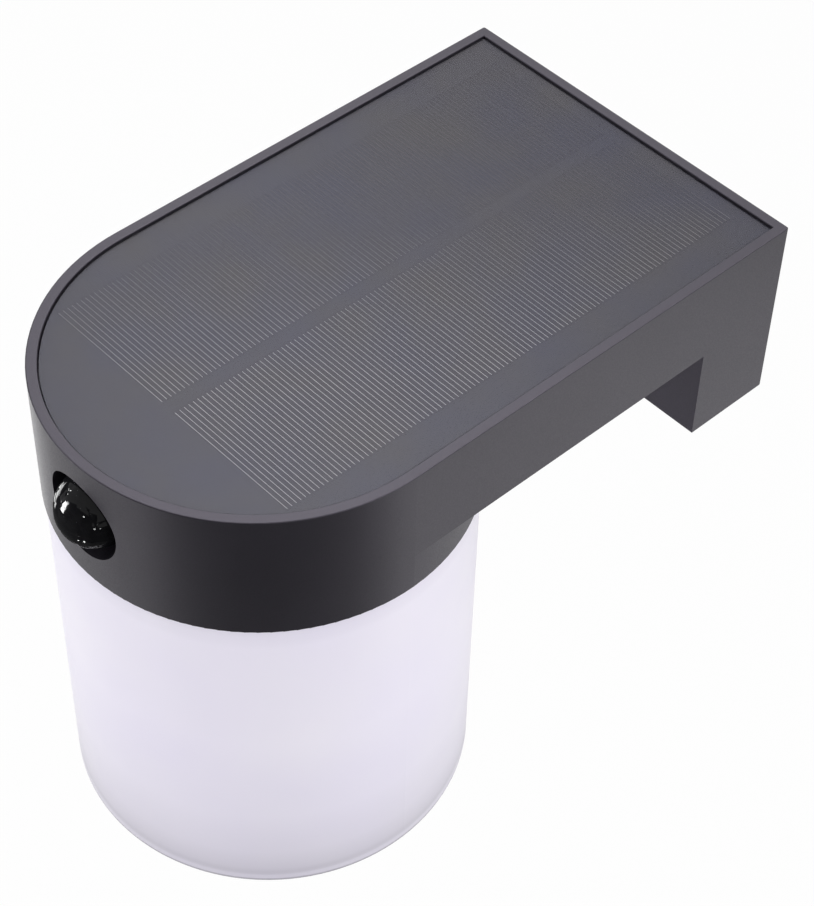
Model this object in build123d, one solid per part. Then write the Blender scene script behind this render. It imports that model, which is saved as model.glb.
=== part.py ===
from build123d import *
import os
from math import cos, radians, sin, sqrt, tan

# Solar wall light, in millimetres. The wall is the plane y = 0, the front looks along -Y and +Z is up.
# The origin is midway between the two wall-screw holes, on the wall plane.

# Outer form
BODY_WIDTH = 108.0
ARM_REACH = 124.7  # from the wall to the axis of the round head
FOOT_HEIGHT = 54.8
FOOT_LENGTH = 26.7
ARM_HEIGHT = 27.0
HEAD_DEPTH = 38.0
WALL = 2.5
EDGE_RADIUS = 0.3
BACK_CORNER_RADIUS = 0.6

# Solar panel, laid in a recess in the top
RIM_WIDTH = 2.8
PANEL_RECESS = 0.7
PANEL_GAP = 0.3
FILM_THICKNESS = 0.6
CELL_THICKNESS = 0.25
BACKING_THICKNESS = 1.5
TAPE_THICKNESS = 0.5
DECK_THICKNESS = 1.8
CELL_COUNT = 11
CELL_GAP = 0.4
CELL_COLUMN_GAP = 3.6
CELL_SIDE_MARGIN = 12.2
CELL_BACK_MARGIN = 7.2
CELL_ARC_MARGIN = 0.8

# Clearances and screws
PART_GAP = 0.3
SLIDE_GAP = 0.15
THREAD_GAP = 0.05
SCREW_GAP = 0.25
SCREW_RADIUS = 1.5
SCREW_LENGTH = 9.0
SCREW_HEAD_RADIUS = 2.8
SCREW_HEAD_HEIGHT = 1.8
HEAD_ROUND_SHARE = 0.4  # shares of a screw head's height and radius
HEAD_SLOT_DEPTH_SHARE = 0.5
HEAD_SLOT_LENGTH_SHARE = 0.55
HEAD_SLOT_WIDTH_SHARE = 0.13
BOARD_SCREW_RADIUS = 1.0
BOARD_SCREW_LENGTH = 5.0
BOARD_SCREW_HEAD_RADIUS = 1.9
BOARD_SCREW_HEAD_HEIGHT = 1.2
BOSS_WALL = 1.9
BOARD_THICKNESS = 1.6

# Motion sensor in the nose
SENSOR_DROP = 18.2
LENS_RADIUS = 9.6
LENS_BORE_GAP = 2.1  # the open ring round the dome
LENS_SHELL = 1.0
LENS_SETBACK = 4.4
LENS_COLLAR = 6.6
LENS_FLANGE_WIDTH = 3.2
LENS_FLANGE_THICKNESS = 1.5
LENS_BOSS_RIM = 0.6
RETAINER_THICKNESS = 2.0
RETAINER_BAND = 4.0
SENSOR_EAR_GAP = 1.6
SENSOR_BOARD_EDGE = 3.4
SENSOR_BOARD_HEIGHT = 20.0
SENSOR_CAN_RADIUS = 4.1
SENSOR_CAN_HEIGHT = 4.2
SENSOR_CAN_FLANGE = 0.5
SENSOR_CAN_FLANGE_HEIGHT = 0.6
SENSOR_SCREW_BITE = 4.0
SENSOR_PLUG_X = 8.0
SENSOR_PLUG_DROP = 4.0
SENSOR_PLUG_SIZE = 8.0
SENSOR_PLUG_DEPTH = 5.0

# Lamp base, light-emitting diodes and diffuser
DIFFUSER_INSET = 0.7
DIFFUSER_WALL = 2.0
DIFFUSER_FLOOR = 2.2
DIFFUSER_HEIGHT = 104.2
DIFFUSER_EDGE_RADIUS = 1.6
DIFFUSER_INNER_RADIUS = 1.0
SEAL_THICKNESS = 0.5
SEAL_WIDTH = 1.8
LAMP_BASE_THICKNESS = 2.5
SPIGOT_HEIGHT = 6.5
SPIGOT_WALL = 4.5
LAMP_SCREW_INSET = 8.5
LAMP_SCREW_COUNT = 4
LUG_COUNT = 3
LUG_DEPTH = 1.5
LUG_HEIGHT = 2.0
LUG_DROP = 2.0
LUG_ANGLE = 9.0
LUG_TWIST = 30.0
LUG_SIDE_GAP = 0.5  # degrees
LED_BOARD_GAP = 4.2  # from the board's edge to the lamp base's screw heads
LED_BOARD_SCREW_INSET = 6.0
LED_BOARD_SCREW_ANGLES = (30, 150, 270)
LED_BOARD_BOSS_HEIGHT = 4.0
LED_RING_INSETS = (24.0, 12.0)
LED_RING_COUNTS = (6, 12)
LED_LENGTH = 3.5
LED_WIDTH = 2.8
LED_HEIGHT = 0.8
LED_PLUG_EDGE = 5.0
LED_PLUG_WIDTH = 8.0
LED_PLUG_LENGTH = 5.0
LED_PLUG_HEIGHT = 6.0

# Battery, a standard 18 mm by 65 mm cell under the deck
BATTERY_RADIUS = 9.2
BATTERY_LENGTH = 65.0
BATTERY_TOP_GAP = 0.5
SADDLE_THICKNESS = 3.0
SADDLE_SPACING = 44.0
CLAMP_WIDTH = 14.0
CLAMP_WALL = 1.8
CLAMP_FLANGE_THICKNESS = 1.8
TAB_THICKNESS = 0.3
TAB_WIDTH = 8.0

# Arm bay with its cover, control board and mode button
BAY_FRONT_GAP = 25.0  # the bay stops this far behind the head axis
OPENING_FRONT_GAP = 37.0
COVER_THICKNESS = 2.2
COVER_PAD_HEIGHT = 2.0
COVER_PAD_WALL = 1.2
COVER_SCREW_INSET = 5.5
COVER_SEAL_THICKNESS = 0.8
LEDGE_WIDTH = 2.0
LEDGE_THICKNESS = 2.0
CONTROL_BOARD_WIDTH = 70.0
CONTROL_BOARD_LENGTH = 30.0
CONTROL_BOARD_BACK_GAP = 7.5
CONTROL_SCREW_INSET = 3.5
BUTTON_RADIUS = 5.0
BUTTON_PROUD = 1.2
BUTTON_FLANGE_WIDTH = 1.5
BUTTON_FLANGE_THICKNESS = 1.0
BUTTON_STEM_RADIUS = 1.8
BUTTON_STEM_LENGTH = 2.0
BUTTON_BACK_GAP = 19.5
BUTTON_TRAVEL = 0.8
BUTTON_SEAL_THICKNESS = 0.8
SWITCH_SIZE = 6.0
SWITCH_HEIGHT = 3.5
SWITCH_STEM_RADIUS = 1.7
SWITCH_STEM_PROUD = 1.3
SWITCH_STEM_INSIDE = 0.5
CHIP_SIZE = 5.0
CHIP_HEIGHT = 1.5
INDUCTOR_RADIUS = 4.0
INDUCTOR_HEIGHT = 4.5
CAPACITOR_RADIUS = 2.5
CAPACITOR_HEIGHT = 5.5

# Wall bracket in the open back of the foot
BRACKET_SHEET = 1.5
BRACKET_SIDE_GAP = 3.0
BRACKET_TOP_GAP = 4.8
BRACKET_TOP_FLANGE = 10.0
BRACKET_BOTTOM_FLANGE = 14.0
BRACKET_BEND_RADIUS = 2.0
WALL_HOLE_SPACING = 60.0
WALL_HOLE_RADIUS = 2.5
HOOK_RIB_THICKNESS = 4.0
HOOK_RIB_BACK_GAP = 1.0
LOCK_SPACING = 60.0
LOCK_FROM_WALL = 8.5
LOCK_RADIUS = 2.0
LOCK_LENGTH = 7.0
LOCK_HEAD_RADIUS = 3.5
LOCK_HEAD_HEIGHT = 2.2
LOCK_RECESS = 2.4
LOCK_PAD_HEIGHT = 2.0
LOCK_PAD_RADIUS = 6.5

# Leads inside the housing
LEAD_RADIUS = 0.65
LEAD_LEVEL_GAP = 4.0  # from the deck down to the leads' level
LEAD_PITCH = 2.0
LEAD_BEND_SHARE = 0.45  # of the shorter run at a bend
LEAD_PAD_INSET = 2.0
LEAD_WINDOW_INSET = 4.0
LEAD_UNDER_CLAMP = 4.5
LEAD_PLUG_RUN = 7.0
LEAD_PLUG_DROP = 9.0
LEAD_RISE_INSET = 25.5
LED_LEAD_RISE = 9.0
LED_LEAD_STEP = 4.0
BATTERY_LEAD_X = 14.0
BATTERY_LEAD_RUN = 5.0
BATTERY_LEAD_TURN = 13.0
BATTERY_LEAD_LIFT = 3.0
BATTERY_LEAD_INSETS = (25.5, 23.5)  # in from the head's inner wall, across and along
BATTERY_LEAD_SPREAD = 3.0
BATTERY_LEAD_NEAR = 9.5
BATTERY_LEAD_SLANT = 1.0
BATTERY_LEAD_STEP = 0.5
PANEL_LEAD_DROP = 2.6
PANEL_LEAD_STEP = 4.0
PANEL_LEAD_RISE = 4.2
WINDOW_HALF_WIDTH = 17.0
WINDOW_HEIGHT = 6.0
WINDOW_TOP_GAP = 1.2
WINDOW_REACH = 7.5  # in from the back of the round head
PANEL_HOLE_RADIUS = 4.0
PANEL_HOLE_X = -20.0
TAPE_CLEARING = 8.0

# Levels and places that follow from the sizes above
half_width = BODY_WIDTH / 2
head_y = -ARM_REACH
nose_y = head_y - half_width
top = FOOT_HEIGHT / 2
foot_bottom = top - FOOT_HEIGHT
arm_bottom = top - ARM_HEIGHT
skirt_bottom = top - HEAD_DEPTH
inner_half = half_width - WALL

film_top = top - PANEL_RECESS
backing_top = film_top - FILM_THICKNESS
tape_top = backing_top - BACKING_THICKNESS
deck_top = tape_top - TAPE_THICKNESS
deck_under = deck_top - DECK_THICKNESS

boss_radius = SCREW_RADIUS + BOSS_WALL
board_boss_radius = BOARD_SCREW_RADIUS + BOSS_WALL

sensor_z = top - SENSOR_DROP
lens_y = nose_y + LENS_SETBACK
lens_seat_y = lens_y + LENS_COLLAR
lens_flange_radius = LENS_RADIUS + LENS_FLANGE_WIDTH
retainer_front_y = lens_seat_y + LENS_FLANGE_THICKNESS
retainer_back_y = retainer_front_y + RETAINER_THICKNESS
sensor_board_back_y = retainer_back_y + BOARD_THICKNESS
sensor_ear_x = lens_flange_radius + SENSOR_EAR_GAP + board_boss_radius

lamp_base_under = skirt_bottom
lamp_base_top = lamp_base_under + LAMP_BASE_THICKNESS
diffuser_radius = half_width - DIFFUSER_INSET
diffuser_bore = diffuser_radius - DIFFUSER_WALL
diffuser_top = skirt_bottom - SEAL_THICKNESS
diffuser_bottom = diffuser_top - DIFFUSER_HEIGHT
spigot_radius = diffuser_bore - PART_GAP
lug_top = diffuser_top - LUG_DROP
lug_bottom = lug_top - LUG_HEIGHT
lamp_screw_circle = inner_half - LAMP_SCREW_INSET
led_board_radius = lamp_screw_circle - SCREW_HEAD_RADIUS - LED_BOARD_GAP
led_board_under = lamp_base_under - BOARD_THICKNESS
led_plug_y = head_y + led_board_radius - LED_PLUG_EDGE
led_plug_top = lamp_base_under + LED_PLUG_HEIGHT

battery_z = deck_under - BATTERY_TOP_GAP - BATTERY_RADIUS
clamp_bore = BATTERY_RADIUS + SLIDE_GAP
clamp_radius = clamp_bore + CLAMP_WALL
clamp_screw_offset = clamp_radius + boss_radius

cover_top = arm_bottom + COVER_THICKNESS
cover_pad_top = cover_top + COVER_PAD_HEIGHT
ledge_bottom = cover_top + COVER_SEAL_THICKNESS
bay_back_y = -FOOT_LENGTH
bay_front_y = head_y + BAY_FRONT_GAP
opening_front_y = head_y + OPENING_FRONT_GAP
button_y = bay_back_y - BUTTON_BACK_GAP
button_flange_top = cover_top + BUTTON_FLANGE_THICKNESS
button_stem_top = button_flange_top + BUTTON_STEM_LENGTH
switch_under = button_stem_top + SWITCH_STEM_PROUD
control_under = switch_under + SWITCH_HEIGHT
control_top = control_under + BOARD_THICKNESS
control_back_y = bay_back_y - CONTROL_BOARD_BACK_GAP
control_front_y = control_back_y - CONTROL_BOARD_LENGTH

foot_front_inner_y = -(FOOT_LENGTH - WALL)
foot_floor = foot_bottom + WALL
bracket_half = inner_half - BRACKET_SIDE_GAP
bracket_top = deck_under - BRACKET_TOP_GAP
bracket_bottom = foot_floor + LOCK_PAD_HEIGHT
lead_level = deck_under - LEAD_LEVEL_GAP


def block(x0, x1, y0, y1, z0, z1):
    """A box between two corners."""
    size = (abs(x1 - x0), abs(y1 - y0), abs(z1 - z0))
    return Pos((x0 + x1) / 2, (y0 + y1) / 2, (z0 + z1) / 2) * Box(*size)


def post(x, y, z0, z1, radius):
    """An upright cylinder."""
    return Pos(x, y, (z0 + z1) / 2) * Cylinder(radius, abs(z1 - z0))


def bar_x(y, z, x0, x1, radius):
    """A cylinder along X."""
    return Pos((x0 + x1) / 2, y, z) * Rot(0, 90, 0) * Cylinder(radius, abs(x1 - x0))


def bar_y(x, z, y0, y1, radius):
    """A cylinder along Y."""
    return Pos(x, (y0 + y1) / 2, z) * Rot(90, 0, 0) * Cylinder(radius, abs(y1 - y0))


def ring_sector(r0, r1, start, size, z0, z1):
    """A piece of a ring about the head axis, from an angle and over a number of degrees."""
    turn = Pos(0, head_y, (z0 + z1) / 2) * Rot(0, 0, start)
    height = abs(z1 - z0)
    return turn * (Cylinder(r1, height, arc_size=size) - Cylinder(r0, height))


def plan(inset):
    """The D-shaped outline seen from above, drawn in by an even inset."""
    half = half_width - inset
    sides = Polyline((-half, head_y), (-half, -inset), (half, -inset), (half, head_y))
    nose = ThreePointArc((half, head_y), (0, head_y - half), (-half, head_y))
    return Face(Wire([*sides.edges(), *nose.edges()]))


def plate(inset, z0, z1):
    """A flat plate of the D-shaped outline."""
    return extrude(Pos(0, 0, z0) * plan(inset), amount=z1 - z0, dir=(0, 0, 1))


def body_form(inset, top_z):
    """The arm, the round head and the foot as one full form, drawn in at its sides and undersides."""
    half = half_width - inset
    floor = arm_bottom + inset
    arm = plate(inset, floor, top_z)
    head = post(0, head_y, skirt_bottom, floor, half)
    foot = block(-half, half, -FOOT_LENGTH + inset, -inset, foot_bottom + inset, floor)
    return arm + head + foot


def bay(inset, front_y, z0, z1):
    """The space in the arm between the foot and the back of the round head."""
    half = inner_half - inset
    space = block(-half, half, bay_back_y - inset, front_y + inset, z0, z1)
    return space - post(0, head_y, z0, z1, half_width + inset)


def screw(radius, length, head_radius, head_height):
    """A pan-head screw that points up, with its head's seat at z = 0 and a cross recess below."""
    shank = post(0, 0, 0, length, radius)
    head = post(0, 0, -head_height, 0, head_radius)
    head = fillet(head.edges().group_by(Axis.Z)[0], head_height * HEAD_ROUND_SHARE)
    slot = head_radius * HEAD_SLOT_LENGTH_SHARE
    slot_half = head_radius * HEAD_SLOT_WIDTH_SHARE
    depth = head_height * HEAD_SLOT_DEPTH_SHARE
    for wide, narrow in ((slot, slot_half), (slot_half, slot)):
        head -= block(-wide, wide, -narrow, narrow, -head_height, depth - head_height)
    return head + shank


def main_screw():
    return screw(SCREW_RADIUS, SCREW_LENGTH, SCREW_HEAD_RADIUS, SCREW_HEAD_HEIGHT)


def board_screw():
    return screw(
        BOARD_SCREW_RADIUS, BOARD_SCREW_LENGTH, BOARD_SCREW_HEAD_RADIUS, BOARD_SCREW_HEAD_HEIGHT
    )


def group(shapes):
    """Separate solids kept together in one node."""
    return Compound(children=[solid for shape in shapes for solid in shape.solids()])


def lead(points):
    """An insulated wire along straight runs joined by arcs as large as the runs allow."""
    stops = [Vector(*point) for point in points]
    radii = []
    for before, corner, after in zip(stops, stops[1:], stops[2:]):
        turn = radians((corner - before).get_angle(after - corner))
        shorter = min((corner - before).length, (after - corner).length)
        radii.append(LEAD_BEND_SHARE * shorter / tan(turn / 2))
    path = FilletPolyline(*stops, radius=radii)
    section = Plane(origin=path @ 0, z_dir=path % 0) * Circle(LEAD_RADIUS)
    return sweep(section, path=path)


# Places of the screws and bosses
lamp_screws_at = [
    (
        lamp_screw_circle * cos(radians(360 / LAMP_SCREW_COUNT * (n + 0.5))),
        head_y + lamp_screw_circle * sin(radians(360 / LAMP_SCREW_COUNT * (n + 0.5))),
    )
    for n in range(LAMP_SCREW_COUNT)
]
led_screw_circle = led_board_radius - LED_BOARD_SCREW_INSET
led_screws_at = [
    (led_screw_circle * cos(radians(angle)), head_y + led_screw_circle * sin(radians(angle)))
    for angle in LED_BOARD_SCREW_ANGLES
]
cover_screw_x = inner_half - COVER_SCREW_INSET
cover_screw_ys = (bay_back_y - COVER_SCREW_INSET, opening_front_y + COVER_SCREW_INSET + LEDGE_WIDTH)
cover_screws_at = [(side * cover_screw_x, y) for side in (-1, 1) for y in cover_screw_ys]
control_screw_x = CONTROL_BOARD_WIDTH / 2 - CONTROL_SCREW_INSET
control_screw_ys = (control_back_y - CONTROL_SCREW_INSET, control_front_y + CONTROL_SCREW_INSET)
control_screws_at = [(side * control_screw_x, y) for side in (-1, 1) for y in control_screw_ys]
clamp_screws_at = [(0, head_y + side * clamp_screw_offset) for side in (-1, 1)]
lock_screws_at = [(side * LOCK_SPACING / 2, -LOCK_FROM_WALL) for side in (-1, 1)]
sensor_screws_x = [side * sensor_ear_x for side in (-1, 1)]
saddles_x = [side * SADDLE_SPACING / 2 for side in (-1, 1)]


def housing_shell():
    """The outer form with its panel recess and its three chambers."""
    form = body_form(0, top)
    back_edges = form.edges().filter_by(Axis.Z).group_by(Axis.Y)[-1]
    form = fillet(back_edges, BACK_CORNER_RADIUS)
    form -= plate(RIM_WIDTH, deck_top, top + WALL)
    rounded = form.edges().filter_by_position(Axis.Z, top, top)
    rounded += form.edges().filter_by_position(Axis.Z, foot_bottom, foot_bottom)
    rounded += form.edges().filter_by_position(Axis.Z, skirt_bottom, skirt_bottom)
    form = fillet(rounded, EDGE_RADIUS)
    form -= post(0, head_y, skirt_bottom - WALL, deck_under, inner_half)
    form -= bay(0, bay_front_y, arm_bottom + WALL, deck_under)
    form -= bay(0, opening_front_y, arm_bottom - WALL, arm_bottom + 2 * WALL)
    form -= block(-inner_half, inner_half, foot_front_inner_y, WALL, foot_floor, deck_under)
    return form


def housing_features():
    """Bosses, ribs and pads inside the housing, before their holes."""
    pieces = [post(x, y, lamp_base_top, deck_top, boss_radius) for x, y in lamp_screws_at]
    pieces += [post(x, y, cover_pad_top, deck_top, boss_radius) for x, y in cover_screws_at]
    pieces += [post(x, y, control_top, deck_top, board_boss_radius) for x, y in control_screws_at]
    pieces += [post(x, y, battery_z, deck_top, boss_radius) for x, y in clamp_screws_at]
    pieces.append(bay(0, opening_front_y, ledge_bottom, ledge_bottom + LEDGE_THICKNESS)
                  - bay(LEDGE_WIDTH, opening_front_y, ledge_bottom, ledge_bottom + LEDGE_THICKNESS))
    for x in saddles_x:
        saddle = block(x - SADDLE_THICKNESS / 2, x + SADDLE_THICKNESS / 2,
                       head_y - clamp_radius, head_y + clamp_radius, battery_z, deck_top)
        pieces.append(saddle - bar_x(head_y, battery_z, x - WALL, x + WALL, clamp_bore))
    boss = lens_flange_radius + LENS_BOSS_RIM
    pieces.append(bar_y(0, sensor_z, nose_y, lens_seat_y, boss))
    pieces += [bar_y(x, sensor_z, nose_y, lens_seat_y, board_boss_radius) for x in sensor_screws_x]
    for x, y in lock_screws_at:
        pieces.append(post(x, y, foot_bottom, bracket_bottom, LOCK_PAD_RADIUS))
        pieces.append(block(x - HOOK_RIB_THICKNESS / 2, x + HOOK_RIB_THICKNESS / 2,
                            -BRACKET_SHEET - HOOK_RIB_BACK_GAP, -BRACKET_TOP_FLANGE,
                            bracket_top, deck_top))
    return pieces


def housing():
    """The black moulding: rim and deck, arm, round head and foot, with its bosses and holes."""
    inside = body_form(WALL / 2, deck_top - DECK_THICKNESS / 2)
    form = housing_shell()
    for piece in housing_features():
        form += piece & inside
    form -= bar_y(0, sensor_z, nose_y - WALL, lens_seat_y, LENS_RADIUS + LENS_BORE_GAP)
    thread = SCREW_RADIUS + THREAD_GAP
    for (x, y), seat in (
        [(at, lamp_base_top) for at in lamp_screws_at]
        + [(at, cover_pad_top) for at in cover_screws_at]
        + [(at, battery_z) for at in clamp_screws_at]
    ):
        form -= post(x, y, seat, seat + SCREW_LENGTH, thread)
    thread = BOARD_SCREW_RADIUS + THREAD_GAP
    for x, y in control_screws_at:
        form -= post(x, y, control_top, control_top + BOARD_SCREW_LENGTH, thread)
    for x in sensor_screws_x:
        form -= bar_y(x, sensor_z, lens_seat_y - BOARD_SCREW_LENGTH, lens_seat_y, thread)
    for x, y in lock_screws_at:
        form -= post(x, y, foot_bottom - WALL, bracket_bottom, LOCK_RADIUS + SCREW_GAP)
        form -= post(x, y, foot_bottom - WALL, foot_bottom + LOCK_RECESS, LOCK_HEAD_RADIUS + PART_GAP)
    window_top = deck_under - WINDOW_TOP_GAP
    back_of_head = head_y + half_width
    form -= block(-WINDOW_HALF_WIDTH, WINDOW_HALF_WIDTH, back_of_head - WINDOW_REACH, back_of_head + WALL,
                  window_top - WINDOW_HEIGHT, window_top)
    form -= post(PANEL_HOLE_X, button_y, deck_under - WALL, deck_top + WALL, PANEL_HOLE_RADIUS)
    return form


def cell_columns():
    """The two columns of cells as corner values: x of the inner and outer edge, y of the back and front."""
    inner = CELL_COLUMN_GAP / 2
    outer = half_width - CELL_SIDE_MARGIN
    arc = half_width - RIM_WIDTH - PANEL_GAP - CELL_ARC_MARGIN
    front = head_y - sqrt(arc ** 2 - outer ** 2)
    return inner, outer, -CELL_BACK_MARGIN, front


def panel_pieces():
    """The laminated solar panel: tape, backing board, cells and clear film."""
    inset = RIM_WIDTH + PANEL_GAP
    inner, outer, back, front = cell_columns()
    tape = plate(inset, deck_top, tape_top)
    tape -= post(PANEL_HOLE_X, button_y, deck_top, tape_top, TAPE_CLEARING)
    backing = plate(inset, tape_top, backing_top)
    film = plate(inset, backing_top, film_top)
    pitch = (back - front + CELL_GAP) / CELL_COUNT
    cells = []
    for side in (-1, 1):
        film -= block(side * inner, side * outer, back, front, backing_top, backing_top + CELL_THICKNESS)
        for n in range(CELL_COUNT):
            start = back - n * pitch
            cells.append(block(side * inner, side * outer, start, start - pitch + CELL_GAP,
                               backing_top, backing_top + CELL_THICKNESS))
    return {"panel_tape": tape, "panel_backing": backing, "solar_cells": group(cells), "panel_film": film}


def sensor_pieces():
    """The motion sensor: domed lens, its retainer, the sensor can, its board, plug and screws."""
    lens_tube = bar_y(0, sensor_z, lens_y, lens_seat_y + LENS_FLANGE_THICKNESS, LENS_RADIUS)
    dome = Pos(0, lens_y, sensor_z) * Sphere(LENS_RADIUS)
    hollow = Pos(0, lens_y, sensor_z) * Sphere(LENS_RADIUS - LENS_SHELL)
    hollow += bar_y(0, sensor_z, lens_y, retainer_front_y, LENS_RADIUS - LENS_SHELL)
    flange = bar_y(0, sensor_z, lens_seat_y, retainer_front_y, lens_flange_radius)
    reach = LENS_RADIUS + LENS_SHELL
    front_half = block(-reach, reach, lens_y - reach, lens_y, sensor_z - reach, sensor_z + reach)
    lens = (dome & front_half) + lens_tube + flange - hollow

    retainer = bar_y(0, sensor_z, retainer_front_y, retainer_back_y, lens_flange_radius)
    retainer += block(-sensor_ear_x, sensor_ear_x, retainer_front_y, retainer_back_y,
                      sensor_z - board_boss_radius, sensor_z + board_boss_radius)
    for x in sensor_screws_x:
        retainer += bar_y(x, sensor_z, lens_seat_y, retainer_back_y, board_boss_radius)
    retainer -= bar_y(0, sensor_z, retainer_front_y, retainer_back_y, lens_flange_radius - RETAINER_BAND)

    board_half = sensor_ear_x + SENSOR_BOARD_EDGE
    board = block(-board_half, board_half, retainer_back_y, sensor_board_back_y,
                  sensor_z - SENSOR_BOARD_HEIGHT / 2, sensor_z + SENSOR_BOARD_HEIGHT / 2)
    screws = []
    for x in sensor_screws_x:
        hole = BOARD_SCREW_RADIUS + SCREW_GAP
        retainer -= bar_y(x, sensor_z, lens_seat_y, retainer_back_y, hole)
        board -= bar_y(x, sensor_z, retainer_back_y, sensor_board_back_y, hole)
        long_screw = screw(BOARD_SCREW_RADIUS, sensor_board_back_y - lens_seat_y + SENSOR_SCREW_BITE,
                           BOARD_SCREW_HEAD_RADIUS, BOARD_SCREW_HEAD_HEIGHT)
        screws.append(Pos(x, sensor_board_back_y, sensor_z) * Rot(90, 0, 0) * long_screw)

    can_front = retainer_back_y - SENSOR_CAN_HEIGHT
    can = bar_y(0, sensor_z, can_front, retainer_back_y, SENSOR_CAN_RADIUS)
    can = fillet(can.edges().group_by(Axis.Y)[0], SENSOR_CAN_FLANGE)
    can += bar_y(0, sensor_z, retainer_back_y - SENSOR_CAN_FLANGE_HEIGHT, retainer_back_y,
                 SENSOR_CAN_RADIUS + SENSOR_CAN_FLANGE)
    plug_z = sensor_z - SENSOR_PLUG_DROP
    plug = block(SENSOR_PLUG_X - SENSOR_PLUG_SIZE / 2, SENSOR_PLUG_X + SENSOR_PLUG_SIZE / 2,
                 sensor_board_back_y, sensor_board_back_y + SENSOR_PLUG_DEPTH,
                 plug_z - SENSOR_PLUG_DEPTH / 2, plug_z + SENSOR_PLUG_DEPTH / 2)
    return {
        "sensor_lens": lens,
        "sensor_retainer": retainer,
        "sensor_can": can,
        "sensor_board": board,
        "sensor_plug": plug,
        "sensor_screws": group(screws),
    }


def lamp_pieces():
    """The lamp base with its bayonet spigot, the board of diodes, the seal and the diffuser."""
    base = post(0, head_y, lamp_base_under, lamp_base_top, inner_half - PART_GAP)
    spigot_bottom = diffuser_top - SPIGOT_HEIGHT
    base += post(0, head_y, spigot_bottom, lamp_base_under, spigot_radius)
    base -= post(0, head_y, spigot_bottom, lamp_base_under, spigot_radius - SPIGOT_WALL)
    lugs = []
    slot_depth = spigot_radius - (diffuser_bore - LUG_DEPTH) + PART_GAP
    for n in range(LUG_COUNT):
        start = 360 / LUG_COUNT * n
        lugs.append(ring_sector(diffuser_bore - LUG_DEPTH, diffuser_bore + DIFFUSER_WALL / 2,
                                start, LUG_ANGLE, lug_bottom, lug_top))
        slot_start = start - LUG_TWIST - LUG_SIDE_GAP
        inner = spigot_radius - slot_depth
        base -= ring_sector(inner, half_width, slot_start, LUG_TWIST + LUG_ANGLE + 2 * LUG_SIDE_GAP,
                            lug_bottom - PART_GAP, lug_top + PART_GAP)
        base -= ring_sector(inner, half_width, slot_start, LUG_ANGLE + 2 * LUG_SIDE_GAP,
                            spigot_bottom, lug_top + PART_GAP)

    board = post(0, head_y, led_board_under, lamp_base_under, led_board_radius)
    led_screws = []
    for x, y in led_screws_at:
        base += post(x, y, lamp_base_under, lamp_base_top + LED_BOARD_BOSS_HEIGHT, board_boss_radius)
        base -= post(x, y, lamp_base_under, lamp_base_under + BOARD_SCREW_LENGTH,
                     BOARD_SCREW_RADIUS + THREAD_GAP)
        board -= post(x, y, led_board_under, lamp_base_under, BOARD_SCREW_RADIUS + SCREW_GAP)
        led_screws.append(Pos(x, y, led_board_under) * board_screw())
    base_screws = []
    for x, y in lamp_screws_at:
        base -= post(x, y, lamp_base_under, lamp_base_top, SCREW_RADIUS + SCREW_GAP)
        base_screws.append(Pos(x, y, lamp_base_under) * main_screw())

    plug = block(-LED_PLUG_WIDTH / 2, LED_PLUG_WIDTH / 2, led_plug_y - LED_PLUG_LENGTH / 2,
                 led_plug_y + LED_PLUG_LENGTH / 2, lamp_base_under, led_plug_top)
    base -= block(-LED_PLUG_WIDTH / 2 - PART_GAP, LED_PLUG_WIDTH / 2 + PART_GAP,
                  led_plug_y - LED_PLUG_LENGTH / 2 - PART_GAP, led_plug_y + LED_PLUG_LENGTH / 2 + PART_GAP,
                  lamp_base_under, lamp_base_top)
    diodes = []
    for inset, count in zip(LED_RING_INSETS, LED_RING_COUNTS):
        for n in range(count):
            spot = Pos(0, head_y, 0) * Rot(0, 0, 360 / count * n) * Pos(led_board_radius - inset, 0, 0)
            diode = block(-LED_LENGTH / 2, LED_LENGTH / 2, -LED_WIDTH / 2, LED_WIDTH / 2,
                          led_board_under - LED_HEIGHT, led_board_under)
            diodes.append(spot * diode)

    seal = post(0, head_y, diffuser_top, skirt_bottom, spigot_radius + THREAD_GAP + SEAL_WIDTH)
    seal -= post(0, head_y, diffuser_top, skirt_bottom, spigot_radius + THREAD_GAP)

    cup = post(0, head_y, diffuser_bottom, diffuser_top, diffuser_radius)
    cup = fillet(cup.edges().group_by(Axis.Z)[0], DIFFUSER_EDGE_RADIUS)
    hollow = post(0, head_y, diffuser_bottom + DIFFUSER_FLOOR, diffuser_top, diffuser_bore)
    hollow = fillet(hollow.edges().group_by(Axis.Z)[0], DIFFUSER_INNER_RADIUS)
    cup -= hollow
    for lug in lugs:
        cup += lug
    return {
        "lamp_base": base,
        "lamp_base_screws": group(base_screws),
        "led_board": board,
        "led_board_screws": group(led_screws),
        "leds": group(diodes),
        "led_plug": plug,
        "diffuser_seal": seal,
        "diffuser": cup,
    }


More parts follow.
